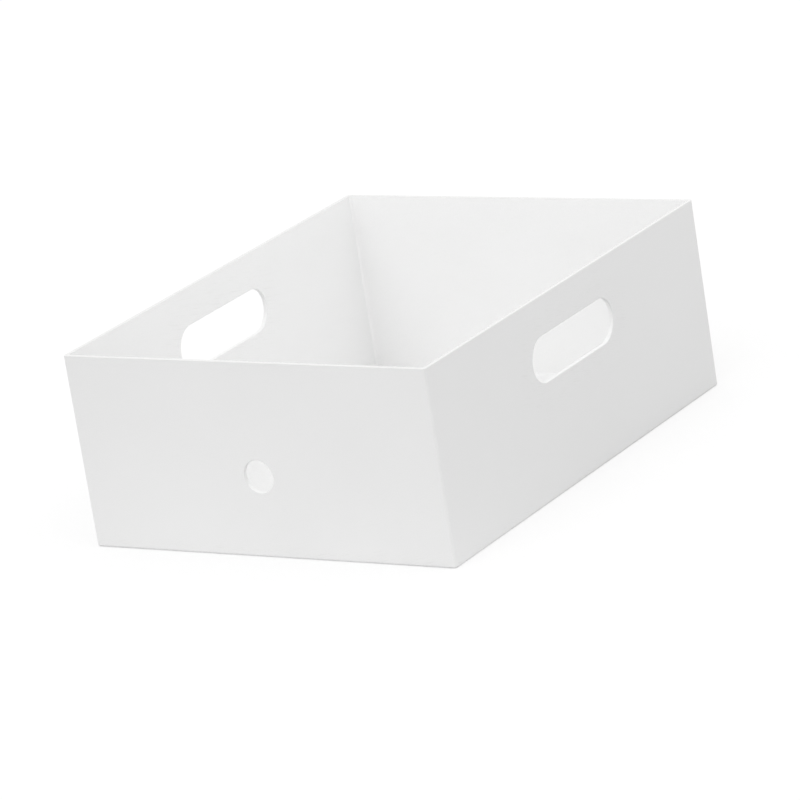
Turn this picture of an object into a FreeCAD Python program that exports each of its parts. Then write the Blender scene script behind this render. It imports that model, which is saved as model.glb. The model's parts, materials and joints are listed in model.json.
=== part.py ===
import FreeCAD, Part
import os

# File storage box, open at the top. The real object is one moulding of white polypropylene.
# It is divided here into its floor and its four walls, which meet face to face.
# The origin is the centre of the footprint, on the surface that the box stands on.
# X runs across the width, Y along the depth with the front wall at -Y, and Z up.

# Outside size
outer_width = 252.0
outer_depth = 318.0
outer_height = 120.0

# The walls are a little thinner at the rim than at the floor, so that the core can be drawn out.
rim_wall_thickness = 2.6
foot_wall_thickness = 3.0
floor_thickness = 2.4

# The underside of the floor is lifted, so that the box stands on the feet of its walls.
underside_lift = 0.8
foot_width = 5.0

# Rounded corners and edges
outer_corner_radius = 2.2
bottom_edge_radius = 1.5
inner_edge_radius = 2.0
rim_edge_radius = 0.5
opening_edge_radius = 0.5

# Hand slots, one in each side wall
slot_length = 95.0
slot_height = 28.0
slot_centre_height = 83.0

# Finger hole, in the front wall
finger_hole_diameter = 20.0
finger_hole_centre_height = 50.0

# Round mark where the plastic entered the mould, sunk into the middle of the underside
gate_mark_diameter = 12.0
gate_mark_depth = 0.5

# Sizes that follow from those above
floor_top = underside_lift + floor_thickness
half_width = outer_width / 2
half_depth = outer_depth / 2
inner_width_limit = half_width - foot_width
inner_depth_limit = half_depth - foot_width

# How far a cutting shape runs past the surface that it cuts
overrun = 5.0

# How far from its exact place an edge is still found
tolerance = 0.1


def vector(x, y, z):
    return FreeCAD.Vector(x, y, z)


def centred_box(x_limits, y_limits, z_limits):
    """Box between a low and a high limit along each axis."""
    lengths = [high - low for low, high in (x_limits, y_limits, z_limits)]
    corner = vector(x_limits[0], y_limits[0], z_limits[0])
    return Part.makeBox(lengths[0], lengths[1], lengths[2], corner)


def tapered_block(lower_half_sizes, upper_half_sizes, z_limits):
    """Block with flat sides that lean evenly from one level rectangle to another."""
    low_x, low_y = lower_half_sizes
    high_x, high_y = upper_half_sizes
    bottom, top = z_limits
    wedge = Part.makeWedge(-low_x, bottom, -low_y, -high_y, -high_x,
                           low_x, top, low_y, high_y, high_x)
    return wedge.rotated(vector(0, 0, 0), vector(1, 0, 0), 90)


def edges_inside(shape, x_limits, y_limits, z_limits):
    """Edges of the shape that lie wholly between the limits."""
    limits = FreeCAD.BoundBox(x_limits[0], y_limits[0], z_limits[0],
                              x_limits[1], y_limits[1], z_limits[1])
    return [edge for edge in shape.Edges if limits.isInside(edge.BoundBox)]


def upright_edges(shape):
    """Edges that run most of the way up the box."""
    return [edge for edge in shape.Edges if edge.BoundBox.ZLength > outer_height / 2]


def level_edges(shape, height):
    """Edges that lie flat at one height."""
    reach_x = half_width + overrun
    reach_y = half_depth + overrun
    heights = (height - tolerance, height + tolerance)
    return edges_inside(shape, (-reach_x, reach_x), (-reach_y, reach_y), heights)


def outer_block():
    """Solid outside form, with round upright corners and a round bottom edge."""
    block = centred_box((-half_width, half_width), (-half_depth, half_depth), (0.0, outer_height))
    block = block.makeFillet(outer_corner_radius, upright_edges(block))
    return block.makeFillet(bottom_edge_radius, level_edges(block, 0.0))


def wall_thickness_at(height):
    """Wall thickness, which falls evenly from the floor to the rim."""
    share = (height - floor_top) / (outer_height - floor_top)
    return foot_wall_thickness + share * (rim_wall_thickness - foot_wall_thickness)


def cavity():
    """Space inside the box, wider at the rim, with round upright corners and a round foot."""
    z_limits = (floor_top, outer_height + overrun)
    half_sizes = []
    for height in z_limits:
        thickness = wall_thickness_at(height)
        half_sizes.append((half_width - thickness, half_depth - thickness))
    space = tapered_block(half_sizes[0], half_sizes[1], z_limits)
    rounded = upright_edges(space) + level_edges(space, floor_top)
    return space.makeFillet(inner_edge_radius, rounded)


def hand_slot_cutter():
    """Bar with round ends that cuts the hand slot through both side walls."""
    radius = slot_height / 2
    half_straight = slot_length / 2 - radius
    x_start = -half_width - overrun
    x_length = outer_width + 2 * overrun
    low = slot_centre_height - radius
    bar = centred_box((x_start, x_start + x_length), (-half_straight, half_straight),
                      (low, low + slot_height))
    for y in (-half_straight, half_straight):
        centre = vector(x_start, y, slot_centre_height)
        bar = bar.fuse(Part.makeCylinder(radius, x_length, centre, vector(1, 0, 0)))
    return bar.removeSplitter()


def finger_hole_cutter():
    """Round bar that cuts the finger hole through the front wall only."""
    start = vector(0, -half_depth - overrun, finger_hole_centre_height)
    length = overrun + foot_wall_thickness + overrun
    return Part.makeCylinder(finger_hole_diameter / 2, length, start, vector(0, 1, 0))


def underside_cutters():
    """Shallow recess under the whole floor, and the round gate mark in its middle."""
    recess = centred_box((-inner_width_limit, inner_width_limit),
                         (-inner_depth_limit, inner_depth_limit), (-overrun, underside_lift))
    gate_mark = Part.makeCylinder(gate_mark_diameter / 2, gate_mark_depth + overrun,
                                  vector(0, 0, underside_lift - overrun))
    return [recess, gate_mark]


def round_rim(shell):
    """Round the outer and inner edges of the rim."""
    return shell.makeFillet(rim_edge_radius, level_edges(shell, outer_height))


def face_layers(outer_face):
    """Thin layers that hold a wall's flat outer face and its slanting inner face."""
    inward = -1 if outer_face > 0 else 1
    outer = sorted((outer_face - tolerance, outer_face + tolerance))
    thinnest = outer_face + inward * (rim_wall_thickness - tolerance)
    thickest = outer_face + inward * (foot_wall_thickness + tolerance)
    return [tuple(outer), tuple(sorted((thinnest, thickest)))]


def round_openings(shell):
    """Round both edges of each hand slot and of the finger hole."""
    margin = 1.0
    slot_reach_y = slot_length / 2 + margin
    slot_reach_z = slot_height / 2 + margin
    hole_reach = finger_hole_diameter / 2 + margin
    slot_y = (-slot_reach_y, slot_reach_y)
    slot_z = (slot_centre_height - slot_reach_z, slot_centre_height + slot_reach_z)
    hole_x = (-hole_reach, hole_reach)
    hole_z = (finger_hole_centre_height - hole_reach, finger_hole_centre_height + hole_reach)
    chosen = []
    for outer_face in (-half_width, half_width):
        for x_limits in face_layers(outer_face):
            chosen += edges_inside(shell, x_limits, slot_y, slot_z)
    for y_limits in face_layers(-half_depth):
        chosen += edges_inside(shell, hole_x, y_limits, hole_z)
    return shell.makeFillet(opening_edge_radius, chosen)


def whole_shell():
    """The complete moulding, before it is divided."""
    shell = outer_block().cut(cavity())
    for cutter in underside_cutters() + [hand_slot_cutter(), finger_hole_cutter()]:
        shell = shell.cut(cutter)
    return round_openings(round_rim(shell))


def upright_prism(points):
    """Upright block, taller than the box, on a flat outline given by its corners."""
    corners = [vector(x, y, -overrun) for x, y in points]
    outline = Part.Face(Part.makePolygon(corners + corners[:1]))
    return outline.extrude(vector(0, 0, outer_height + 2 * overrun))


def regions():
    """Node name to the block of space that the node takes up.

    The walls part from each other along the middle of each corner.
    """
    near_x = inner_width_limit
    near_y = inner_depth_limit
    far_x = near_x + foot_width + overrun
    far_y = near_y + foot_width + overrun
    outlines = {
        "front_wall": [(-near_x, -near_y), (near_x, -near_y), (far_x, -far_y), (-far_x, -far_y)],
        "back_wall": [(-near_x, near_y), (near_x, near_y), (far_x, far_y), (-far_x, far_y)],
        "left_wall": [(-near_x, -near_y), (-near_x, near_y), (-far_x, far_y), (-far_x, -far_y)],
        "right_wall": [(near_x, -near_y), (near_x, near_y), (far_x, far_y), (far_x, -far_y)],
        "floor_panel": [(-near_x, -near_y), (near_x, -near_y), (near_x, near_y), (-near_x, near_y)],
    }
    return {name: upright_prism(points) for name, points in outlines.items()}


def export_nodes():
    """Write one closed solid for each node, and print what it measures."""
    os.makedirs("parts", exist_ok=True)
    shell = whole_shell()
    total = 0.0
    for name, block in regions().items():
        pieces = shell.common(block).Solids
        if len(pieces) != 1 or not pieces[0].isValid():
            raise RuntimeError(name + " is not one valid solid")
        piece = pieces[0]
        piece.exportStep("parts/" + name + ".step")
        total += piece.Volume
        print(name, "volume", round(piece.Volume), "mm3, faces", len(piece.Faces))
    print("whole shell", round(shell.Volume), "mm3, nodes together", round(total), "mm3")


export_nodes()
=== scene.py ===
import json
import math

import bmesh
import bpy
from mathutils import Matrix, Vector


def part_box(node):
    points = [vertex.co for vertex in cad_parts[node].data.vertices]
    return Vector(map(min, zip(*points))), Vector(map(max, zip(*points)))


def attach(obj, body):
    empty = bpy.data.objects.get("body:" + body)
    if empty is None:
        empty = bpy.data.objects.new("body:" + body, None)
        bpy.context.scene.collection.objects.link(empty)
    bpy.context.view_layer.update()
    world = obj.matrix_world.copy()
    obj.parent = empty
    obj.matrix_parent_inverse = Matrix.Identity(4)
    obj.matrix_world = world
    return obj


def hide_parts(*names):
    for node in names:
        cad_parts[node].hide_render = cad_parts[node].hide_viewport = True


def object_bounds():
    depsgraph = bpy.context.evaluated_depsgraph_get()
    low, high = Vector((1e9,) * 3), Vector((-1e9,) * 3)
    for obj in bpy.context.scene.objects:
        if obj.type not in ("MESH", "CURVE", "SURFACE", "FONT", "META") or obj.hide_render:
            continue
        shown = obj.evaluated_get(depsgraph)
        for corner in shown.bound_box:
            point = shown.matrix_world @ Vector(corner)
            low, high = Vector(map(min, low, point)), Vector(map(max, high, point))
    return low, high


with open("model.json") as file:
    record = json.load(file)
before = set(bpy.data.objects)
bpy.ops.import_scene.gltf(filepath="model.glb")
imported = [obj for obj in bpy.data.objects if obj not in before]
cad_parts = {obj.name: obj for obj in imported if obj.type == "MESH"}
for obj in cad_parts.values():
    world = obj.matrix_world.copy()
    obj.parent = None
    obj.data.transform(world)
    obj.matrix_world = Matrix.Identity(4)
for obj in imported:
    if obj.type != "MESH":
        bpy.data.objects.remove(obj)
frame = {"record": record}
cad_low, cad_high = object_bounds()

bl_info = {
    "name": "File storage box",
    "version": (1, 0, 0),
    "blender": (4, 5, 0),
    "location": "3D View > Sidebar > File Box",
    "description": "Builds a white moulded file storage box, its finish and a plain stage",
    "category": "Add Mesh",
}

# Lengths are in metres. The origin is the centre of the footprint, on the floor.
# X runs across the width, Y along the depth with the front wall at -Y, and Z up.
MILLIMETRE = 0.001

# Sizes read from the frame
floor_low, floor_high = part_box("floor_panel")
hollows = {hollow["name"]: hollow["box_m"] for hollow in frame["record"]["physics"]["openings"]}


def middle_height(box):
    """Height halfway up a box given by its lowest and highest corner."""
    return (box[0][2] + box[1][2]) / 2


def length(name, description, value, **limits):
    """Length property, in metres."""
    return bpy.props.FloatProperty(name=name, description=description, default=value, min=0.0,
                                   unit="LENGTH", precision=5, **limits)


def share(name, description, value, high=1.0):
    """Plain number property between nothing and a high limit."""
    return bpy.props.FloatProperty(name=name, description=description, default=value, min=0.0,
                                   max=high, subtype="FACTOR")


def turn(name, description, degrees):
    """Angle property, given here in degrees."""
    return bpy.props.FloatProperty(name=name, description=description,
                                   default=math.radians(degrees), subtype="ANGLE")


def colour(name, description, value):
    """Colour property."""
    return bpy.props.FloatVectorProperty(name=name, description=description, default=value,
                                         size=3, min=0.0, max=1.0, subtype="COLOR")


class ShellSizes(bpy.types.PropertyGroup):
    """Sizes of the moulded shell."""

    width: length("Width", "Outside width, from side wall to side wall", cad_high.x - cad_low.x)
    depth: length("Depth", "Outside depth, from front wall to back wall", cad_high.y - cad_low.y)
    height: length("Height", "Outside height", cad_high.z - cad_low.z)
    rim_wall: length("Wall at the rim", "Thickness of the walls at the rim", 2.6 * MILLIMETRE)
    foot_wall: length("Wall at the foot", "Thickness of the walls at the floor", 3.0 * MILLIMETRE)
    floor_top: length("Floor level", "Height of the inside floor", floor_high.z)
    lift: length("Underside lift", "How far the underside stands off the table", floor_low.z)
    foot_width: length("Foot width", "Width of the ring that the box stands on",
                       cad_high.x - floor_high.x)
    outer_corner: length("Outer corner", "Radius of the upright outer corners", 2.2 * MILLIMETRE)
    inner_corner: length("Inner corner", "Radius of the inner corners and of the foot inside",
                         2.0 * MILLIMETRE)
    bottom_round: length("Bottom edge", "Radius of the bottom edge", 1.5 * MILLIMETRE)
    rim_round: length("Rim edge", "Radius of both edges of the rim", 0.5 * MILLIMETRE)


class OpeningSizes(bpy.types.PropertyGroup):
    """Sizes of the hand slots, the finger hole and the marks that the mould leaves."""

    slot_length: length("Slot length", "Length of each hand slot", 95.0 * MILLIMETRE)
    slot_height: length("Slot height", "Height of each hand slot", 28.0 * MILLIMETRE)
    slot_level: length("Slot level", "Height of the middle of the hand slots",
                       middle_height(hollows["right_hand_slot"]))
    hole_diameter: length("Finger hole", "Diameter of the finger hole", 20.0 * MILLIMETRE)
    hole_level: length("Finger hole level", "Height of the middle of the finger hole",
                       middle_height(hollows["finger_hole"]))
    edge_round: length("Edge round", "Radius of the edges of the openings", 0.5 * MILLIMETRE)
    gate_diameter: length("Gate mark", "Diameter of the round mark under the floor",
                          12.0 * MILLIMETRE)
    gate_depth: length("Gate mark depth", "Depth of the round mark under the floor",
                       0.5 * MILLIMETRE)
    pin_diameter: length("Pin mark", "Diameter of the marks on the inside floor",
                         9.0 * MILLIMETRE)
    pin_depth: length("Pin mark depth", "Depth of the marks on the inside floor",
                      0.25 * MILLIMETRE)


class PlasticFinish(bpy.types.PropertyGroup):
    """Colour and surface of the polypropylene."""

    base: colour("Colour", "Colour of the plastic", (0.96, 0.96, 0.96))
    # The worn colour is also the colour of the painted shade on the rim and in the pits of the
    # grain.
    worn: colour("Worn colour", "Colour of rubbed edges and scuffs", (0.80, 0.80, 0.79))
    roughness: share("Roughness", "Roughness of the grained outside", 0.50)
    inside_roughness: share("Inside roughness", "Roughness of the smoother inside", 0.42)
    grain: length("Grain size", "Size of the fine moulded grain", 0.55 * MILLIMETRE)
    grain_height: length("Grain height", "Height of the fine moulded grain", 0.045 * MILLIMETRE)
    # Painted shade: the pits of the grain are painted darker.
    painted_pit_shade: share("Grain shade", "How much duller the pits of the grain are", 0.5)
    ripple: length("Ripple size", "Size of the soft unevenness of the surface", 14.0 * MILLIMETRE)
    ripple_height: length("Ripple height", "Height of the soft unevenness", 0.10 * MILLIMETRE)
    edge_band: length("Edge band", "Width of the rubbed band along the edges", 1.6 * MILLIMETRE)
    # The wear also sets the strength of the painted shade on the rim.
    wear: share("Wear", "How strongly edges and handled places are worn", 0.55)


class StageSettings(bpy.types.PropertyGroup):
    """Floor, light and camera."""

    # Painted pool of light: the floor is painted lighter before the box, which lights the foot of
    # the front wall.
    near_shade: share("Near shade", "How much light the floor throws back before the box", 0.66)
    far_shade: share("Far shade", "How much light the floor throws back elsewhere", 0.47)
    floor_seen: share("Floor seen", "Shade of the floor to the eye, which takes the shadow", 0.40)
    floor_glow: share("Floor glow", "Evenly seen part of the floor, which makes it white", 0.60)
    floor_radius: length("Floor radius", "Radius of the floor", 8.0)
    sky: share("Sky", "Strength of the even light from all round", 0.90, 2.0)
    top_light: share("Top light", "Strength of the light from above", 0.08, 10.0)
    front_light: share("Front light", "Strength of the light from the front", 0.40, 10.0)
    right_light: share("Right light", "Strength of the light from the right", 0.15, 10.0)
    back_light: share("Back light", "Strength of the light from behind", 0.08, 10.0)
    azimuth: turn("Azimuth", "Direction of the camera round the box, from the front", 34.408)
    elevation: turn("Elevation", "Height of the camera above the level", 17.262)
    roll: turn("Roll", "Tilt of the camera to its right", 9.151)
    distance: length("Distance", "Distance of the camera from the point that it aims at", 2.90701)
    aim: bpy.props.FloatVectorProperty(
        name="Aim", description="Point that the camera aims at", size=3,
        default=(1.154 * MILLIMETRE, -5.567 * MILLIMETRE, 43.158 * MILLIMETRE),
        subtype="TRANSLATION", unit="LENGTH")
    lens: bpy.props.FloatProperty(name="Lens", description="Focal length on a 36 mm sensor",
                                  default=217.04, unit="CAMERA")


# Node trees

GEOMETRY = "GeometryNodeTree"
SHADER = "ShaderNodeTree"
SOCKETS = {"geometry": "NodeSocketGeometry", "float": "NodeSocketFloat", "int": "NodeSocketInt",
           "vector": "NodeSocketVector", "material": "NodeSocketMaterial"}


class Field:
    """Number in a node tree. Arithmetic on it adds the nodes that work the result out."""

    def __init__(self, tree, socket):
        self.tree = tree
        self.socket = socket

    def __add__(self, other):
        return calculate(self.tree, "ADD", self, other)

    def __radd__(self, other):
        return calculate(self.tree, "ADD", other, self)

    def __sub__(self, other):
        return calculate(self.tree, "SUBTRACT", self, other)

    def __rsub__(self, other):
        return calculate(self.tree, "SUBTRACT", other, self)

    def __mul__(self, other):
        return calculate(self.tree, "MULTIPLY", self, other)

    def __rmul__(self, other):
        return calculate(self.tree, "MULTIPLY", other, self)

    def __truediv__(self, other):
        return calculate(self.tree, "DIVIDE", self, other)

    def __rtruediv__(self, other):
        return calculate(self.tree, "DIVIDE", other, self)

    def __gt__(self, other):
        return calculate(self.tree, "GREATER_THAN", self, other)

    def __lt__(self, other):
        return calculate(self.tree, "LESS_THAN", self, other)


def fill(tree, socket, value):
    """Give an input socket a number, or link it to another node's output."""
    if isinstance(value, Field):
        tree.links.new(value.socket, socket)
    elif isinstance(value, bpy.types.NodeSocket):
        tree.links.new(value, socket)
    else:
        socket.default_value = value


def add_node(tree, kind, inputs, **settings):
    """New node with its settings, and its inputs given by name or by place."""
    node = tree.nodes.new(kind)
    node.location = (200 * (len(tree.nodes) % 12), -220 * (len(tree.nodes) // 12))
    for name, value in settings.items():
        setattr(node, name, value)
    for name, value in inputs.items():
        fill(tree, node.inputs[name], value)
    return node


def calculate(tree, operation, *operands):
    """Number worked out from one to three others."""
    inputs = dict(enumerate(operands))
    return Field(tree, add_node(tree, "ShaderNodeMath", inputs, operation=operation).outputs[0])


def vector(tree, x, y, z):
    """Vector made of three numbers."""
    return add_node(tree, "ShaderNodeCombineXYZ", {0: x, 1: y, 2: z}).outputs[0]


def parts_of(tree, socket):
    """The three numbers of a vector."""
    node = add_node(tree, "ShaderNodeSeparateXYZ", {0: socket})
    return [Field(tree, output) for output in node.outputs]


def new_tree(name, kind, inputs, outputs):
    """Empty node tree with named inputs and outputs, and its inputs by name."""
    tree = bpy.data.node_groups.new(name, kind)
    for label, socket_kind in inputs:
        tree.interface.new_socket(label, in_out="INPUT", socket_type=SOCKETS[socket_kind])
    for label, socket_kind in outputs:
        tree.interface.new_socket(label, in_out="OUTPUT", socket_type=SOCKETS[socket_kind])
    start = tree.nodes.new("NodeGroupInput")
    given = {}
    for label, socket_kind in inputs:
        socket = start.outputs[label]
        given[label] = Field(tree, socket) if socket_kind in ("float", "int") else socket
    return tree, given


def end_tree(tree, results):
    """Link the results to the tree's outputs, by name."""
    end = tree.nodes.new("NodeGroupOutput")
    for label, value in results.items():
        fill(tree, end.inputs[label], value)
    return tree


def place_group(tree, group, inputs):
    """Place a node group in a tree."""
    kinds = {GEOMETRY: "GeometryNodeGroup", SHADER: "ShaderNodeGroup"}
    node = tree.nodes.new(kinds[tree.bl_idname])
    node.node_tree = group
    for name, value in inputs.items():
        fill(tree, node.inputs[name], value)
    return node


def join(tree, pieces):
    """Join geometry, first piece first. Links to a joining socket count from its last one."""
    node = tree.nodes.new("GeometryNodeJoinGeometry")
    for piece in reversed(pieces):
        tree.links.new(piece, node.inputs[0])
    return node.outputs[0]


def named(tree, name, data_type="FLOAT"):
    """Attribute of the geometry that the result is used on."""
    node = add_node(tree, "GeometryNodeInputNamedAttribute", {"Name": name}, data_type=data_type)
    return node.outputs["Attribute"]


def store(tree, geometry, name, value, data_type="FLOAT"):
    """Geometry with one more attribute on its points."""
    inputs = {"Geometry": geometry, "Name": name, "Value": value}
    node = add_node(tree, "GeometryNodeStoreNamedAttribute", inputs, data_type=data_type)
    return node.outputs["Geometry"]


def move_to(tree, geometry, position):
    """Geometry with its points put at a position."""
    inputs = {"Geometry": geometry, "Position": position}
    return add_node(tree, "GeometryNodeSetPosition", inputs).outputs["Geometry"]


# Geometry of the shell

def outline_tree():
    """Levels of a loft. Each level is a rectangle with round corners.

    Reach X and Y go from the middle of the rectangle to the centres of its corners. More than one
    step makes a run of levels along an arc of radius Round, which rounds the edge of the loft.
    Inside is 1 for levels on the inside of the box, which its draft spreads.
    """
    tree, given = new_tree("Outline levels", GEOMETRY, [
        ("Reach X", "float"), ("Reach Y", "float"), ("Middle Y", "float"), ("Radius", "float"),
        ("Height", "float"), ("Round", "float"), ("Start", "float"), ("Turn", "float"),
        ("Steps", "int"), ("Inside", "float")], [("Levels", "geometry")])
    points = add_node(tree, "GeometryNodeMeshLine", {"Count": given["Steps"] + 1}).outputs["Mesh"]
    index = Field(tree, add_node(tree, "GeometryNodeInputIndex", {}).outputs[0])
    angle = given["Start"] + given["Turn"] * (index / given["Steps"])
    radius = given["Radius"] + given["Round"] * calculate(tree, "COSINE", angle)
    height = given["Height"] + given["Round"] * calculate(tree, "SINE", angle)
    points = store(tree, points, "radius", radius)
    points = store(tree, points, "inside", given["Inside"])
    points = store(tree, points, "reach", vector(tree, given["Reach X"], given["Reach Y"], 0.0),
                   "FLOAT_VECTOR")
    points = move_to(tree, points, vector(tree, 0.0, given["Middle Y"], height))
    return end_tree(tree, {"Levels": points})


def loft_tree():
    """Mesh through the levels, with the same number of points on every level."""
    tree, given = new_tree("Loft outlines", GEOMETRY,
                           [("Levels", "geometry"), ("Corner Steps", "int")],
                           [("Mesh", "geometry")])
    count = add_node(tree, "GeometryNodeAttributeDomainSize", {"Geometry": given["Levels"]})
    level_count = Field(tree, count.outputs["Point Count"])
    corner_points = given["Corner Steps"] + 1
    mesh = add_node(tree, "GeometryNodeMeshGrid",
                    {"Vertices X": 4 * corner_points + 1, "Vertices Y": level_count})
    index = Field(tree, add_node(tree, "GeometryNodeInputIndex", {}).outputs[0])
    column = calculate(tree, "FLOOR", (index + 0.5) / level_count)
    level = index - column * level_count
    corner = calculate(tree, "FLOOR", (column + 0.5) / corner_points)
    along = (column - corner * corner_points) / given["Corner Steps"]
    quarter = math.pi / 2
    angle = (corner + along) * quarter
    diagonal = (corner + 0.5) * quarter

    def from_level(attribute, data_type):
        sample = add_node(tree, "GeometryNodeSampleIndex",
                          {"Geometry": given["Levels"], "Value": attribute, "Index": level},
                          data_type=data_type, domain="POINT")
        return sample.outputs[0]

    centre = add_node(tree, "GeometryNodeInputPosition", {}).outputs[0]
    centre_x, centre_y, height = parts_of(tree, from_level(centre, "FLOAT_VECTOR"))
    reach = from_level(named(tree, "reach", "FLOAT_VECTOR"), "FLOAT_VECTOR")
    reach_x, reach_y = parts_of(tree, reach)[:2]
    radius = Field(tree, from_level(named(tree, "radius"), "FLOAT"))
    side_x = calculate(tree, "SIGN", calculate(tree, "COSINE", diagonal))
    side_y = calculate(tree, "SIGN", calculate(tree, "SINE", diagonal))
    x = centre_x + side_x * reach_x + radius * calculate(tree, "COSINE", angle)
    y = centre_y + side_y * reach_y + radius * calculate(tree, "SINE", angle)
    skin = store(tree, mesh.outputs["Mesh"], "inside", from_level(named(tree, "inside"), "FLOAT"))
    skin = move_to(tree, skin, vector(tree, x, y, height))
    return end_tree(tree, {"Mesh": skin})


class Loft:
    """Collects the levels of one loft, and then makes its mesh."""

    def __init__(self, tree, groups, corner_steps):
        self.tree = tree
        self.groups = groups
        self.corner_steps = corner_steps
        self.levels = []

    def level(self, reach_x, reach_y, radius, height, inside=0.0, middle=0.0):
        """One level."""
        self.rounded(reach_x, reach_y, radius, height, 0.0, (0, 0), 0, inside, middle)

    def rounded(self, reach_x, reach_y, radius, height, round_radius, degrees, steps,
                inside=0.0, middle=0.0):
        """Levels along an arc, from one angle to another."""
        start, end = [math.radians(angle) for angle in degrees]
        inputs = {"Reach X": reach_x, "Reach Y": reach_y, "Middle Y": middle, "Radius": radius,
                  "Height": height, "Round": round_radius, "Start": start, "Turn": end - start,
                  "Steps": steps, "Inside": inside}
        node = place_group(self.tree, self.groups["levels"], inputs)
        self.levels.append(node.outputs["Levels"])

    def mesh(self):
        """Mesh through all the levels so far."""
        inputs = {"Levels": join(self.tree, self.levels), "Corner Steps": self.corner_steps}
        return place_group(self.tree, self.groups["loft"], inputs).outputs["Mesh"]


def wall_tree(groups):
    """Flat wall with an opening, in the place of the front wall."""
    tree, given = new_tree("Wall with opening", GEOMETRY, [
        ("Outer Reach", "float"), ("Inner Reach", "float"), ("Outer Bottom", "float"),
        ("Inner Bottom", "float"), ("Top", "float"), ("Face", "float"), ("Thickness", "float"),
        ("Opening Reach", "float"), ("Opening Radius", "float"), ("Opening Level", "float"),
        ("Edge Round", "float"), ("Corner Steps", "int"), ("Edge Steps", "int")],
        [("Mesh", "geometry")])
    edge = given["Edge Round"]
    flared = given["Opening Radius"] + edge
    loft = Loft(tree, groups, given["Corner Steps"])
    loft.level(given["Outer Reach"], (given["Top"] - given["Outer Bottom"]) / 2, 0.0, 0.0,
               middle=(given["Top"] + given["Outer Bottom"]) / 2)
    loft.rounded(given["Opening Reach"], 0.0, flared, edge, edge, (-90, -180),
                 given["Edge Steps"], middle=given["Opening Level"])
    loft.rounded(given["Opening Reach"], 0.0, flared, given["Thickness"] - edge, edge, (180, 90),
                 given["Edge Steps"], inside=1.0, middle=given["Opening Level"])
    loft.level(given["Inner Reach"], (given["Top"] - given["Inner Bottom"]) / 2, 0.0,
               given["Thickness"], inside=1.0, middle=(given["Top"] + given["Inner Bottom"]) / 2)
    position = add_node(tree, "GeometryNodeInputPosition", {}).outputs[0]
    along, up, inward = parts_of(tree, position)
    wall = move_to(tree, loft.mesh(), vector(tree, along, inward - given["Face"], up))
    return end_tree(tree, {"Mesh": wall})


SHELL_INPUTS = [
    ("Width", "float"), ("Depth", "float"), ("Height", "float"), ("Rim Wall", "float"),
    ("Foot Wall", "float"), ("Floor Top", "float"), ("Lift", "float"), ("Foot Width", "float"),
    ("Outer Corner", "float"), ("Inner Corner", "float"), ("Bottom Round", "float"),
    ("Rim Round", "float"), ("Slot Length", "float"), ("Slot Height", "float"),
    ("Slot Level", "float"), ("Hole Diameter", "float"), ("Hole Level", "float"),
    ("Edge Round", "float"), ("Gate Diameter", "float"), ("Gate Depth", "float"),
    ("Pin Diameter", "float"), ("Pin Depth", "float"), ("Corner Steps", "int"),
    ("Opening Steps", "int"), ("Edge Steps", "int"), ("Material", "material")]


def skin_of_shell(tree, size, groups):
    """Continuous skin from the underside round the foot, up, over the rim and down inside."""
    half_x, half_y = size["Width"] / 2, size["Depth"] / 2
    steps = size["Edge Steps"]
    foot_x, foot_y = half_x - size["Foot Width"], half_y - size["Foot Width"]
    outer_x, outer_y = half_x - size["Outer Corner"], half_y - size["Outer Corner"]
    inner_x = half_x - size["Foot Wall"] - size["Inner Corner"]
    inner_y = half_y - size["Foot Wall"] - size["Inner Corner"]
    rim_level = size["Height"] - size["Rim Round"]
    loft = Loft(tree, groups, size["Corner Steps"])
    loft.level(foot_x, foot_y, 0.0, size["Lift"])
    loft.level(foot_x, foot_y, 0.0, 0.0)
    loft.rounded(outer_x, outer_y, size["Outer Corner"] - size["Bottom Round"],
                 size["Bottom Round"], size["Bottom Round"], (-90, 0), steps)
    loft.rounded(outer_x, outer_y, size["Outer Corner"] - size["Rim Round"], rim_level,
                 size["Rim Round"], (0, 90), steps)
    loft.rounded(inner_x, inner_y, size["Inner Corner"] + size["Rim Round"], rim_level,
                 size["Rim Round"], (90, 180), steps, inside=1.0)
    loft.rounded(inner_x, inner_y, 0.0, size["Floor Top"] + size["Inner Corner"],
                 size["Inner Corner"], (0, -90), steps, inside=1.0)
    return loft.mesh()


def without_open_walls(tree, skin, depth):
    """Skin without the flat faces of the front and side walls, which are made with openings."""
    least_area = 0.01
    front_share = 0.4
    area = Field(tree, add_node(tree, "GeometryNodeInputMeshFaceArea", {}).outputs[0])
    position = add_node(tree, "GeometryNodeInputPosition", {}).outputs[0]
    along = parts_of(tree, position)[1]
    chosen = (area > least_area) * (along < depth * front_share)
    inputs = {"Geometry": skin, "Selection": chosen}
    return add_node(tree, "GeometryNodeDeleteGeometry", inputs, domain="FACE").outputs[0]


def open_wall(tree, size, groups, along_x, opening):
    """Front wall or side wall, in the place of the front wall, with its opening."""
    half_x, half_y = size["Width"] / 2, size["Depth"] / 2
    run, face = (half_x, half_y) if along_x else (half_y, half_x)
    inputs = {
        "Outer Reach": run - size["Outer Corner"],
        "Inner Reach": run - size["Foot Wall"] - size["Inner Corner"],
        "Outer Bottom": size["Bottom Round"],
        "Inner Bottom": size["Floor Top"] + size["Inner Corner"],
        "Top": size["Height"] - size["Rim Round"], "Face": face, "Thickness": size["Foot Wall"],
        "Edge Round": size["Edge Round"], "Corner Steps": size["Opening Steps"],
        "Edge Steps": size["Edge Steps"]}
    inputs.update(opening)
    return place_group(tree, groups["wall"], inputs).outputs["Mesh"]


def repeated(tree, geometry, spots):
    """Copies of a geometry on every spot."""
    inputs = {"Points": spots, "Instance": geometry}
    copies = add_node(tree, "GeometryNodeInstanceOnPoints", inputs).outputs[0]
    return add_node(tree, "GeometryNodeRealizeInstances", {"Geometry": copies}).outputs[0]


def turned(tree, geometry, degrees):
    """Geometry turned about the upright axis."""
    inputs = {"Geometry": geometry, "Rotation": (0.0, 0.0, math.radians(degrees))}
    return add_node(tree, "GeometryNodeTransform", inputs).outputs["Geometry"]


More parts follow.
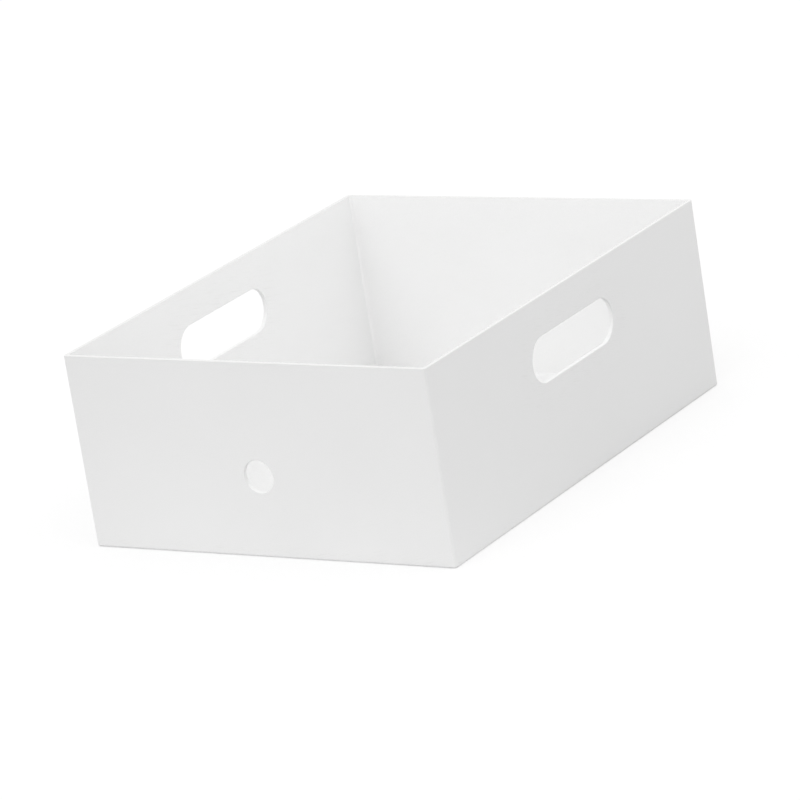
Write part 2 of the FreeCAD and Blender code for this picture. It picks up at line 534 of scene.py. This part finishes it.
def inside_floor(tree, size, groups):
    """Inside floor, with rows of shallow round marks where pins pushed the moulding off its core."""
    marks_x, marks_y = 2, 3
    floor_x = size["Width"] / 2 - size["Foot Wall"] - size["Inner Corner"]
    floor_y = size["Depth"] / 2 - size["Foot Wall"] - size["Inner Corner"]
    radius, level = size["Pin Diameter"] / 2, size["Floor Top"]
    spots = add_node(tree, "GeometryNodeMeshGrid", {
        "Size X": floor_x * (2 * (1 - 1 / marks_x)), "Size Y": floor_y * (2 * (1 - 1 / marks_y)),
        "Vertices X": marks_x, "Vertices Y": marks_y}).outputs["Mesh"]
    loft = Loft(tree, groups, size["Corner Steps"])
    loft.level(0.0, 0.0, radius, level)
    loft.level(0.0, 0.0, radius, level - size["Pin Depth"])
    loft.level(0.0, 0.0, 0.0, level - size["Pin Depth"])
    edge = add_node(tree, "GeometryNodeCurvePrimitiveCircle",
                    {"Radius": radius, "Resolution": 4 * size["Corner Steps"]}).outputs["Curve"]
    border = add_node(tree, "GeometryNodeCurvePrimitiveQuadrilateral",
                      {"Width": 2 * floor_x, "Height": 2 * floor_y}).outputs["Curve"]
    outlines = join(tree, [border, repeated(tree, edge, spots)])
    flat = add_node(tree, "GeometryNodeFillCurve", {"Curve": outlines}, mode="TRIANGLES")
    lifted = add_node(tree, "GeometryNodeTransform", {
        "Geometry": flat.outputs["Mesh"], "Translation": vector(tree, 0.0, 0.0, level)})
    return join(tree, [lifted.outputs["Geometry"], repeated(tree, loft.mesh(), spots)])


def underside(tree, size, groups):
    """Raised underside of the floor, with the round gate mark and the stub in its middle."""
    stub_radius, stub_tip_radius, stub_height = 1.5 * MILLIMETRE, 1.2 * MILLIMETRE, 0.35 * MILLIMETRE
    mark_radius = size["Gate Diameter"] / 2
    mark_top = size["Lift"] + size["Gate Depth"]
    loft = Loft(tree, groups, size["Corner Steps"])
    loft.level(size["Width"] / 2 - size["Foot Width"], size["Depth"] / 2 - size["Foot Width"],
               0.0, size["Lift"])
    loft.level(0.0, 0.0, mark_radius, size["Lift"])
    loft.level(0.0, 0.0, mark_radius, mark_top)
    loft.level(0.0, 0.0, stub_radius, mark_top)
    loft.level(0.0, 0.0, stub_tip_radius, mark_top - stub_height)
    loft.level(0.0, 0.0, 0.0, mark_top - stub_height)
    return loft.mesh()


def spread_inside(tree, size, mesh):
    """Draft: the inside is spread with height, so that the walls thin towards the rim."""
    x, y, z = parts_of(tree, add_node(tree, "GeometryNodeInputPosition", {}).outputs[0])
    climb = (z - size["Floor Top"]) / (size["Height"] - size["Floor Top"])
    spread = (size["Foot Wall"] - size["Rim Wall"]) * calculate(tree, "MAXIMUM", climb, 0.0)
    spread = spread * Field(tree, named(tree, "inside"))
    wide = 1.0 + spread / (size["Width"] / 2 - size["Foot Wall"])
    deep = 1.0 + spread / (size["Depth"] / 2 - size["Foot Wall"])
    return move_to(tree, mesh, vector(tree, x * wide, y * deep, z))


def shell_tree():
    """Whole shell, from its sizes."""
    same_place = 0.02 * MILLIMETRE
    groups = {"levels": outline_tree(), "loft": loft_tree()}
    groups["wall"] = wall_tree(groups)
    tree, size = new_tree("File box shell", GEOMETRY, SHELL_INPUTS, [("Mesh", "geometry")])
    slot_radius = size["Slot Height"] / 2
    hand_slot = {"Opening Reach": size["Slot Length"] / 2 - slot_radius,
                 "Opening Radius": slot_radius, "Opening Level": size["Slot Level"]}
    finger_hole = {"Opening Reach": 0.0, "Opening Radius": size["Hole Diameter"] / 2,
                   "Opening Level": size["Hole Level"]}
    side_wall = open_wall(tree, size, groups, False, hand_slot)
    pieces = [
        without_open_walls(tree, skin_of_shell(tree, size, groups), size["Depth"]),
        open_wall(tree, size, groups, True, finger_hole),
        turned(tree, side_wall, 90),
        turned(tree, side_wall, -90),
        inside_floor(tree, size, groups),
        underside(tree, size, groups)]
    whole = spread_inside(tree, size, join(tree, pieces))
    merge = {"Geometry": whole, "Distance": same_place}
    whole = add_node(tree, "GeometryNodeMergeByDistance", merge).outputs[0]
    finish = {"Geometry": whole, "Material": size["Material"]}
    whole = add_node(tree, "GeometryNodeSetMaterial", finish).outputs[0]
    return end_tree(tree, {"Mesh": whole})


def mesh_from_tree(tree, values, name):
    """Plain mesh object made by a geometry tree, with the tree's inputs given by name."""
    maker = bpy.data.objects.new("maker", bpy.data.meshes.new("maker"))
    bpy.context.scene.collection.objects.link(maker)
    modifier = maker.modifiers.new("shape", "NODES")
    modifier.node_group = tree
    identifiers = {item.name: item.identifier for item in tree.interface.items_tree
                   if item.in_out == "INPUT"}
    for label, value in values.items():
        modifier[identifiers[label]] = value
    graph = bpy.context.evaluated_depsgraph_get()
    mesh = bpy.data.meshes.new_from_object(maker.evaluated_get(graph))
    bpy.data.objects.remove(maker)
    mesh.name = name
    made = bpy.data.objects.new(name, mesh)
    bpy.context.scene.collection.objects.link(made)
    return made


def clean_mesh(piece):
    """Drop faces without area, turn all faces outwards, and keep the crisp edges sharp."""
    crisp = math.radians(35)
    too_short = 0.001 * MILLIMETRE
    mesh = bmesh.new()
    mesh.from_mesh(piece.data)
    bmesh.ops.dissolve_degenerate(mesh, dist=too_short, edges=mesh.edges)
    bmesh.ops.recalc_face_normals(mesh, faces=mesh.faces)
    for face in mesh.faces:
        face.smooth = True
    for edge in mesh.edges:
        edge.smooth = edge.calc_face_angle(0.0) < crisp
    mesh.to_mesh(piece.data)
    mesh.free()
    if piece.data.materials[0] is None:
        piece.data.materials.pop(index=0)


# Finish of the plastic

def noise(tree, position, size, detail=2.0):
    """Uneven number between 0 and 1 whose patches have about the given size."""
    inputs = {"Vector": position, "Scale": 1.0 / size, "Detail": detail}
    return Field(tree, add_node(tree, "ShaderNodeTexNoise", inputs).outputs["Fac"])


def ramp(tree, value, start, end):
    """0 below the start, 1 above the end, and smooth between them."""
    inputs = {"Value": value, "From Min": start, "From Max": end}
    node = add_node(tree, "ShaderNodeMapRange", inputs, interpolation_type="SMOOTHSTEP")
    return Field(tree, node.outputs["Result"])


def lowest(tree, one, other):
    """The smaller of two numbers."""
    return calculate(tree, "MINIMUM", one, other)


def highest(tree, one, other):
    """The larger of two numbers."""
    return calculate(tree, "MAXIMUM", one, other)


def size_of(tree, number):
    """A number without its sign."""
    return calculate(tree, "ABSOLUTE", number)


def surface_tree():
    """Fine grain of the mould on the soft unevenness of a moulded wall."""
    tree, given = new_tree("Moulded surface", SHADER, [
        ("Position", "vector"), ("Grain Size", "float"), ("Grain Height", "float"),
        ("Ripple Size", "float"), ("Ripple Height", "float")],
        [("Height", "float"), ("Speckle", "float"), ("Cloud", "float")])
    ripples_in_cloud = 6.0
    grain = noise(tree, given["Position"], given["Grain Size"])
    ripple = noise(tree, given["Position"], given["Ripple Size"], detail=1.0)
    cloud = noise(tree, given["Position"], given["Ripple Size"] * ripples_in_cloud, detail=3.0)
    height = grain * given["Grain Height"] + ripple * given["Ripple Height"]
    return end_tree(tree, {"Height": height, "Speckle": grain, "Cloud": cloud})


def edge_tree():
    """Rubbing along the rim, the upright corners and the foot: 1 on an edge, and 0 away from it."""
    tree, given = new_tree("Edge wear", SHADER, [
        ("Position", "vector"), ("Half Width", "float"), ("Half Depth", "float"),
        ("Height", "float"), ("Band", "float")], [("Wear", "float")])
    bands_in_patch = 8.0
    patch_start, patch_full = 0.35, 0.60
    least_wear = 0.3
    x, y, z = parts_of(tree, given["Position"])
    off_side = size_of(tree, given["Half Width"] - size_of(tree, x))
    off_front = size_of(tree, given["Half Depth"] - size_of(tree, y))
    off_corner = highest(tree, off_side, off_front)
    off_foot = highest(tree, lowest(tree, off_side, off_front), z)
    off_rim = given["Height"] - z
    off_edge = lowest(tree, off_rim, lowest(tree, off_corner, off_foot))
    patchy = noise(tree, given["Position"], given["Band"] * bands_in_patch)
    patch = ramp(tree, patchy, patch_start, patch_full)
    near_edge = 1.0 - ramp(tree, off_edge, 0.0, given["Band"])
    wear = near_edge * (least_wear + (1.0 - least_wear) * patch)
    return end_tree(tree, {"Wear": wear})


def opening_tree():
    """Rubbing round a slot or hole: 1 on its edge, and 0 away from it."""
    tree, given = new_tree("Opening wear", SHADER, [
        ("Along", "float"), ("Up", "float"), ("Reach", "float"), ("Radius", "float"),
        ("Band", "float")], [("Wear", "float")])
    beyond = highest(tree, size_of(tree, given["Along"]) - given["Reach"], 0.0)
    away = calculate(tree, "SQRT", beyond * beyond + given["Up"] * given["Up"])
    off_edge = size_of(tree, away - given["Radius"])
    return end_tree(tree, {"Wear": 1.0 - ramp(tree, off_edge, 0.0, given["Band"])})


def scuff_tree():
    """Fine scuffs that run in one direction."""
    tree, given = new_tree("Scuffs", SHADER, [
        ("Position", "vector"), ("Turn", "vector"), ("Length", "float"), ("Width", "float")],
        [("Scuff", "float")])
    scuff_start, scuff_full = 0.58, 0.68
    turned_size = vector(tree, given["Length"], given["Width"], given["Width"])
    inputs = {"Vector": given["Position"], "Rotation": given["Turn"], "Scale": turned_size}
    along = add_node(tree, "ShaderNodeMapping", inputs, vector_type="TEXTURE").outputs["Vector"]
    scuff = ramp(tree, noise(tree, along, 1.0), scuff_start, scuff_full)
    return end_tree(tree, {"Scuff": scuff})


def worn_places(tree, position, finish, size, opening):
    """Rubbing of the edges and the openings, painted shade along the top of the rim, and scuffs near
    the foot and the slots.
    """
    rim_shade_depth = 0.8 * MILLIMETRE
    edge_wear, opening_wear, scuff_wear = 0.6, 0.2, 0.6
    held_band, standing_band = 30 * MILLIMETRE, 12 * MILLIMETRE
    scuff_length, scuff_width, least_scuffs = 14 * MILLIMETRE, 0.5 * MILLIMETRE, 0.15
    scuff_turns = [(0.0, math.radians(-12), 0.0), (0.0, math.radians(15), math.radians(90))]
    x, y, z = parts_of(tree, position)
    edges = place_group(tree, edge_tree(), {
        "Position": position, "Half Width": size.width / 2, "Half Depth": size.depth / 2,
        "Height": size.height, "Band": finish.edge_band}).outputs["Wear"]
    round_opening = opening_tree()

    def near_opening(along, level, reach, radius, band):
        """Nearness to the edge of a slot or hole."""
        inputs = {"Along": along, "Up": z - level, "Reach": reach, "Radius": radius,
                  "Band": band}
        return Field(tree, place_group(tree, round_opening, inputs).outputs["Wear"])

    slot_radius, hole_radius = opening.slot_height / 2, opening.hole_diameter / 2
    slot_reach = opening.slot_length / 2 - slot_radius
    slot_edge = near_opening(y, opening.slot_level, slot_reach, slot_radius, finish.edge_band)
    hole_edge = near_opening(x, opening.hole_level, 0.0, hole_radius, finish.edge_band) * (y < 0.0)
    held = near_opening(y, opening.slot_level, slot_reach, slot_radius, held_band)
    standing = 1.0 - ramp(tree, z, 0.0, standing_band)
    scuffs = scuff_tree()
    along_walls = [Field(tree, place_group(tree, scuffs, {
        "Position": position, "Turn": direction, "Length": scuff_length,
        "Width": scuff_width}).outputs["Scuff"]) for direction in scuff_turns]
    scuffed = highest(tree, *along_walls) * scuff_wear
    scuffed = scuffed * (least_scuffs + (1.0 - least_scuffs) * highest(tree, held, standing))
    # Painted shade: the top of the rim is painted darker along its whole length, where the light
    # from above falls most.
    rim = ramp(tree, z, size.height - rim_shade_depth, size.height)
    openings = highest(tree, slot_edge, hole_edge) * opening_wear
    rubbed = highest(tree, Field(tree, edges) * edge_wear, openings)
    return highest(tree, rubbed, rim), scuffed


def plastic_material(finish, size, opening):
    """White polypropylene, grained outside and a little smoother inside."""
    plastic_ior = 1.49
    speckle_gloss, cloud_gloss, wear_gloss = 0.12, 0.10, 0.30
    plain_tone, cloud_tone = 0.125, 0.25
    material = bpy.data.materials.new("moulded_polypropylene")
    material.use_nodes = True
    tree = material.node_tree
    shader = tree.nodes["Principled BSDF"]
    shader.inputs["IOR"].default_value = plastic_ior
    position = add_node(tree, "ShaderNodeTexCoord", {}).outputs["Object"]
    surface = place_group(tree, surface_tree(), {
        "Position": position, "Grain Size": finish.grain, "Grain Height": finish.grain_height,
        "Ripple Size": finish.ripple, "Ripple Height": finish.ripple_height}).outputs
    # The first result holds the rubbing of the edges and openings together with the painted shade on
    # the rim.
    rubbed, scuffed = worn_places(tree, position, finish, size, opening)
    inside = add_node(tree, "ShaderNodeAttribute", {}, attribute_name="inside").outputs["Fac"]
    speckle = Field(tree, surface["Speckle"]) - 0.5
    cloud = Field(tree, surface["Cloud"]) - 0.5
    rough = finish.roughness + Field(tree, inside) * (finish.inside_roughness - finish.roughness)
    rough = rough + speckle * speckle_gloss + cloud * cloud_gloss
    rough = rough + (scuffed - rubbed) * (wear_gloss * finish.wear)
    # Painted shade: the pits of the grain are painted darker. The cloud is tone that differs at
    # random.
    uneven = plain_tone - speckle * finish.painted_pit_shade + cloud * cloud_tone
    # Mix towards the worn colour: real wear and scuffs, the painted shade on the rim and in the pits
    # of the grain, and random tone.
    worn = highest(tree, rubbed, scuffed) * finish.wear + uneven
    mixed = add_node(tree, "ShaderNodeMix", {
        "Factor": worn, "A": (*finish.base, 1.0), "B": (*finish.worn, 1.0)}, data_type="RGBA")
    bump = add_node(tree, "ShaderNodeBump", {"Height": surface["Height"], "Distance": 1.0})
    fill(tree, shader.inputs["Base Color"], mixed.outputs["Result"])
    fill(tree, shader.inputs["Roughness"], rough)
    fill(tree, shader.inputs["Normal"], bump.outputs["Normal"])
    return material


class FILEBOX_OT_shell(bpy.types.Operator):
    """Build the moulded shell: floor, four walls, two hand slots and a finger hole."""

    bl_idname = "filebox.shell"
    bl_label = "Moulded Shell"

    def execute(self, context):
        size = context.scene.filebox_shell
        opening = context.scene.filebox_openings
        material = plastic_material(context.scene.filebox_finish, size, opening)
        values = {
            "Width": size.width, "Depth": size.depth, "Height": size.height,
            "Rim Wall": size.rim_wall, "Foot Wall": size.foot_wall, "Floor Top": size.floor_top,
            "Lift": size.lift, "Foot Width": size.foot_width, "Outer Corner": size.outer_corner,
            "Inner Corner": size.inner_corner, "Bottom Round": size.bottom_round,
            "Rim Round": size.rim_round, "Slot Length": opening.slot_length,
            "Slot Height": opening.slot_height, "Slot Level": opening.slot_level,
            "Hole Diameter": opening.hole_diameter, "Hole Level": opening.hole_level,
            "Edge Round": opening.edge_round, "Gate Diameter": opening.gate_diameter,
            "Gate Depth": opening.gate_depth, "Pin Diameter": opening.pin_diameter,
            "Pin Depth": opening.pin_depth, "Corner Steps": 10, "Opening Steps": 24,
            "Edge Steps": 6, "Material": material}
        shell = mesh_from_tree(shell_tree(), values, "box_shell")
        clean_mesh(shell)
        normals = shell.modifiers.new("flat faces stay flat", "WEIGHTED_NORMAL")
        normals.keep_sharp = True
        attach(shell, "root")
        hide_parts("floor_panel", "front_wall", "back_wall", "left_wall", "right_wall")
        return {"FINISHED"}


# Stage

def seen_ray(tree):
    """1 for a ray that ends in the picture, straight, mirrored or through glass, and 0 for light."""
    path = add_node(tree, "ShaderNodeLightPath", {}).outputs
    mirrored = highest(tree, Field(tree, path["Is Glossy Ray"]),
                       Field(tree, path["Is Transmission Ray"]))
    return highest(tree, Field(tree, path["Is Camera Ray"]), mirrored)


def add_world(settings):
    """Even light from all round, seen as plain white."""
    world = bpy.data.worlds.new("studio")
    world.use_nodes = True
    tree = world.node_tree
    background = tree.nodes["Background"]
    background.inputs["Color"].default_value = (1.0, 1.0, 1.0, 1.0)
    strength = settings.sky + seen_ray(tree) * (1.0 - settings.sky)
    fill(tree, background.inputs["Strength"], strength)
    bpy.context.scene.world = world


def floor_material(settings, size):
    """Matt pale floor that is seen as white where nothing shades it.

    It is painted lighter in a patch before the front wall, a painted pool of light that throws more
    light on the foot of that wall.
    """
    patch_half_width, patch_fade = size.width / 5, 260 * MILLIMETRE
    material = bpy.data.materials.new("floor")
    material.use_nodes = True
    tree = material.node_tree
    shader = tree.nodes["Principled BSDF"]
    x, y = parts_of(tree, add_node(tree, "ShaderNodeTexCoord", {}).outputs["Object"])[:2]
    off_x = highest(tree, size_of(tree, x) - patch_half_width, 0.0)
    off_y = y + size.depth / 2
    off_patch = calculate(tree, "SQRT", off_x * off_x + off_y * off_y)
    far = ramp(tree, off_patch, 0.0, patch_fade)
    # Painted pool of light before the front wall, fading to the far shade.
    shade = settings.near_shade + far * (settings.far_shade - settings.near_shade)
    seen = seen_ray(tree)
    fill(tree, shader.inputs["Base Color"], shade + seen * (settings.floor_seen - shade))
    fill(tree, shader.inputs["Emission Color"], seen * settings.floor_glow)
    shader.inputs["Emission Strength"].default_value = 1.0
    shader.inputs["Roughness"].default_value = 0.9
    shader.inputs["Specular IOR Level"].default_value = 0.0
    return material


def add_floor(settings, size):
    """Round flat floor at the height that the box stands on."""
    mesh = bmesh.new()
    bmesh.ops.create_circle(mesh, cap_ends=True, segments=96, radius=settings.floor_radius)
    data = bpy.data.meshes.new("floor")
    mesh.to_mesh(data)
    mesh.free()
    data.materials.append(floor_material(settings, size))
    floor = bpy.data.objects.new("floor", data)
    bpy.context.scene.collection.objects.link(floor)


def add_soft_light(name, strength, side, height, width):
    """Wide soft light far off. Side is its direction over the floor, from the right wall.

    Its height and its width are the angles at which the box sees it, and all three are in degrees.
    """
    data = bpy.data.lights.new(name, "SUN")
    data.angle = math.radians(width)
    data.energy = strength
    light = bpy.data.objects.new(name, data)
    level = math.cos(math.radians(height))
    towards = Vector((math.cos(math.radians(side)) * level, math.sin(math.radians(side)) * level,
                      math.sin(math.radians(height))))
    light.rotation_euler = towards.to_track_quat("Z", "Y").to_euler()
    light.location = towards
    bpy.context.scene.collection.objects.link(light)


def add_camera(settings):
    """Camera at the direction, distance and tilt of the settings."""
    data = bpy.data.cameras.new("camera")
    data.sensor_width = 36.0
    data.lens = settings.lens
    data.clip_start = 0.01
    data.clip_end = 100.0
    camera = bpy.data.objects.new("camera", data)
    level = math.cos(settings.elevation)
    back = Vector((math.sin(settings.azimuth) * level, -math.cos(settings.azimuth) * level,
                   math.sin(settings.elevation)))
    facing = (-back).to_track_quat("-Z", "Y").to_matrix()
    camera.rotation_euler = (facing @ Matrix.Rotation(-settings.roll, 3, "Z")).to_euler()
    camera.location = Vector(settings.aim) + back * settings.distance
    bpy.context.scene.collection.objects.link(camera)
    bpy.context.scene.camera = camera


class FILEBOX_OT_stage(bpy.types.Operator):
    """Set the floor, the soft light and the camera."""

    bl_idname = "filebox.stage"
    bl_label = "Stage"

    def execute(self, context):
        settings = context.scene.filebox_stage
        context.scene.view_settings.view_transform = "Standard"
        add_world(settings)
        add_floor(settings, context.scene.filebox_shell)
        add_soft_light("top_light", settings.top_light, side=0, height=90, width=68)
        add_soft_light("front_light", settings.front_light, side=-90, height=45, width=44)
        add_soft_light("right_light", settings.right_light, side=0, height=45, width=44)
        add_soft_light("back_light", settings.back_light, side=90, height=35, width=50)
        add_camera(settings)
        return {"FINISHED"}


class FILEBOX_PT_panel(bpy.types.Panel):
    """Lists the steps that build the box, and their settings."""

    bl_label = "File Storage Box"
    bl_idname = "FILEBOX_PT_panel"
    bl_space_type = "VIEW_3D"
    bl_region_type = "UI"
    bl_category = "File Box"

    def draw(self, context):
        layout = self.layout
        for operator in OPERATORS:
            layout.operator(operator.bl_idname)
        for name in SETTINGS:
            group = getattr(context.scene, name)
            column = layout.column(align=True)
            for item in group.bl_rna.properties:
                if item.identifier not in ("rna_type", "name"):
                    column.prop(group, item.identifier)


OPERATORS = (FILEBOX_OT_shell, FILEBOX_OT_stage)
SETTINGS = {"filebox_shell": ShellSizes, "filebox_openings": OpeningSizes,
            "filebox_finish": PlasticFinish, "filebox_stage": StageSettings}
CLASSES = (*SETTINGS.values(), *OPERATORS, FILEBOX_PT_panel)


def register():
    """Register the classes, and hang the settings on the scene."""
    for one in CLASSES:
        bpy.utils.register_class(one)
    for name, group in SETTINGS.items():
        setattr(bpy.types.Scene, name, bpy.props.PointerProperty(type=group))


def unregister():
    """Undo register."""
    for name in SETTINGS:
        delattr(bpy.types.Scene, name)
    for one in reversed(CLASSES):
        bpy.utils.unregister_class(one)


def main():
    """Build everything."""
    register()
    bpy.ops.filebox.shell()
    bpy.ops.filebox.stage()


if __name__ == "__main__":
    main()
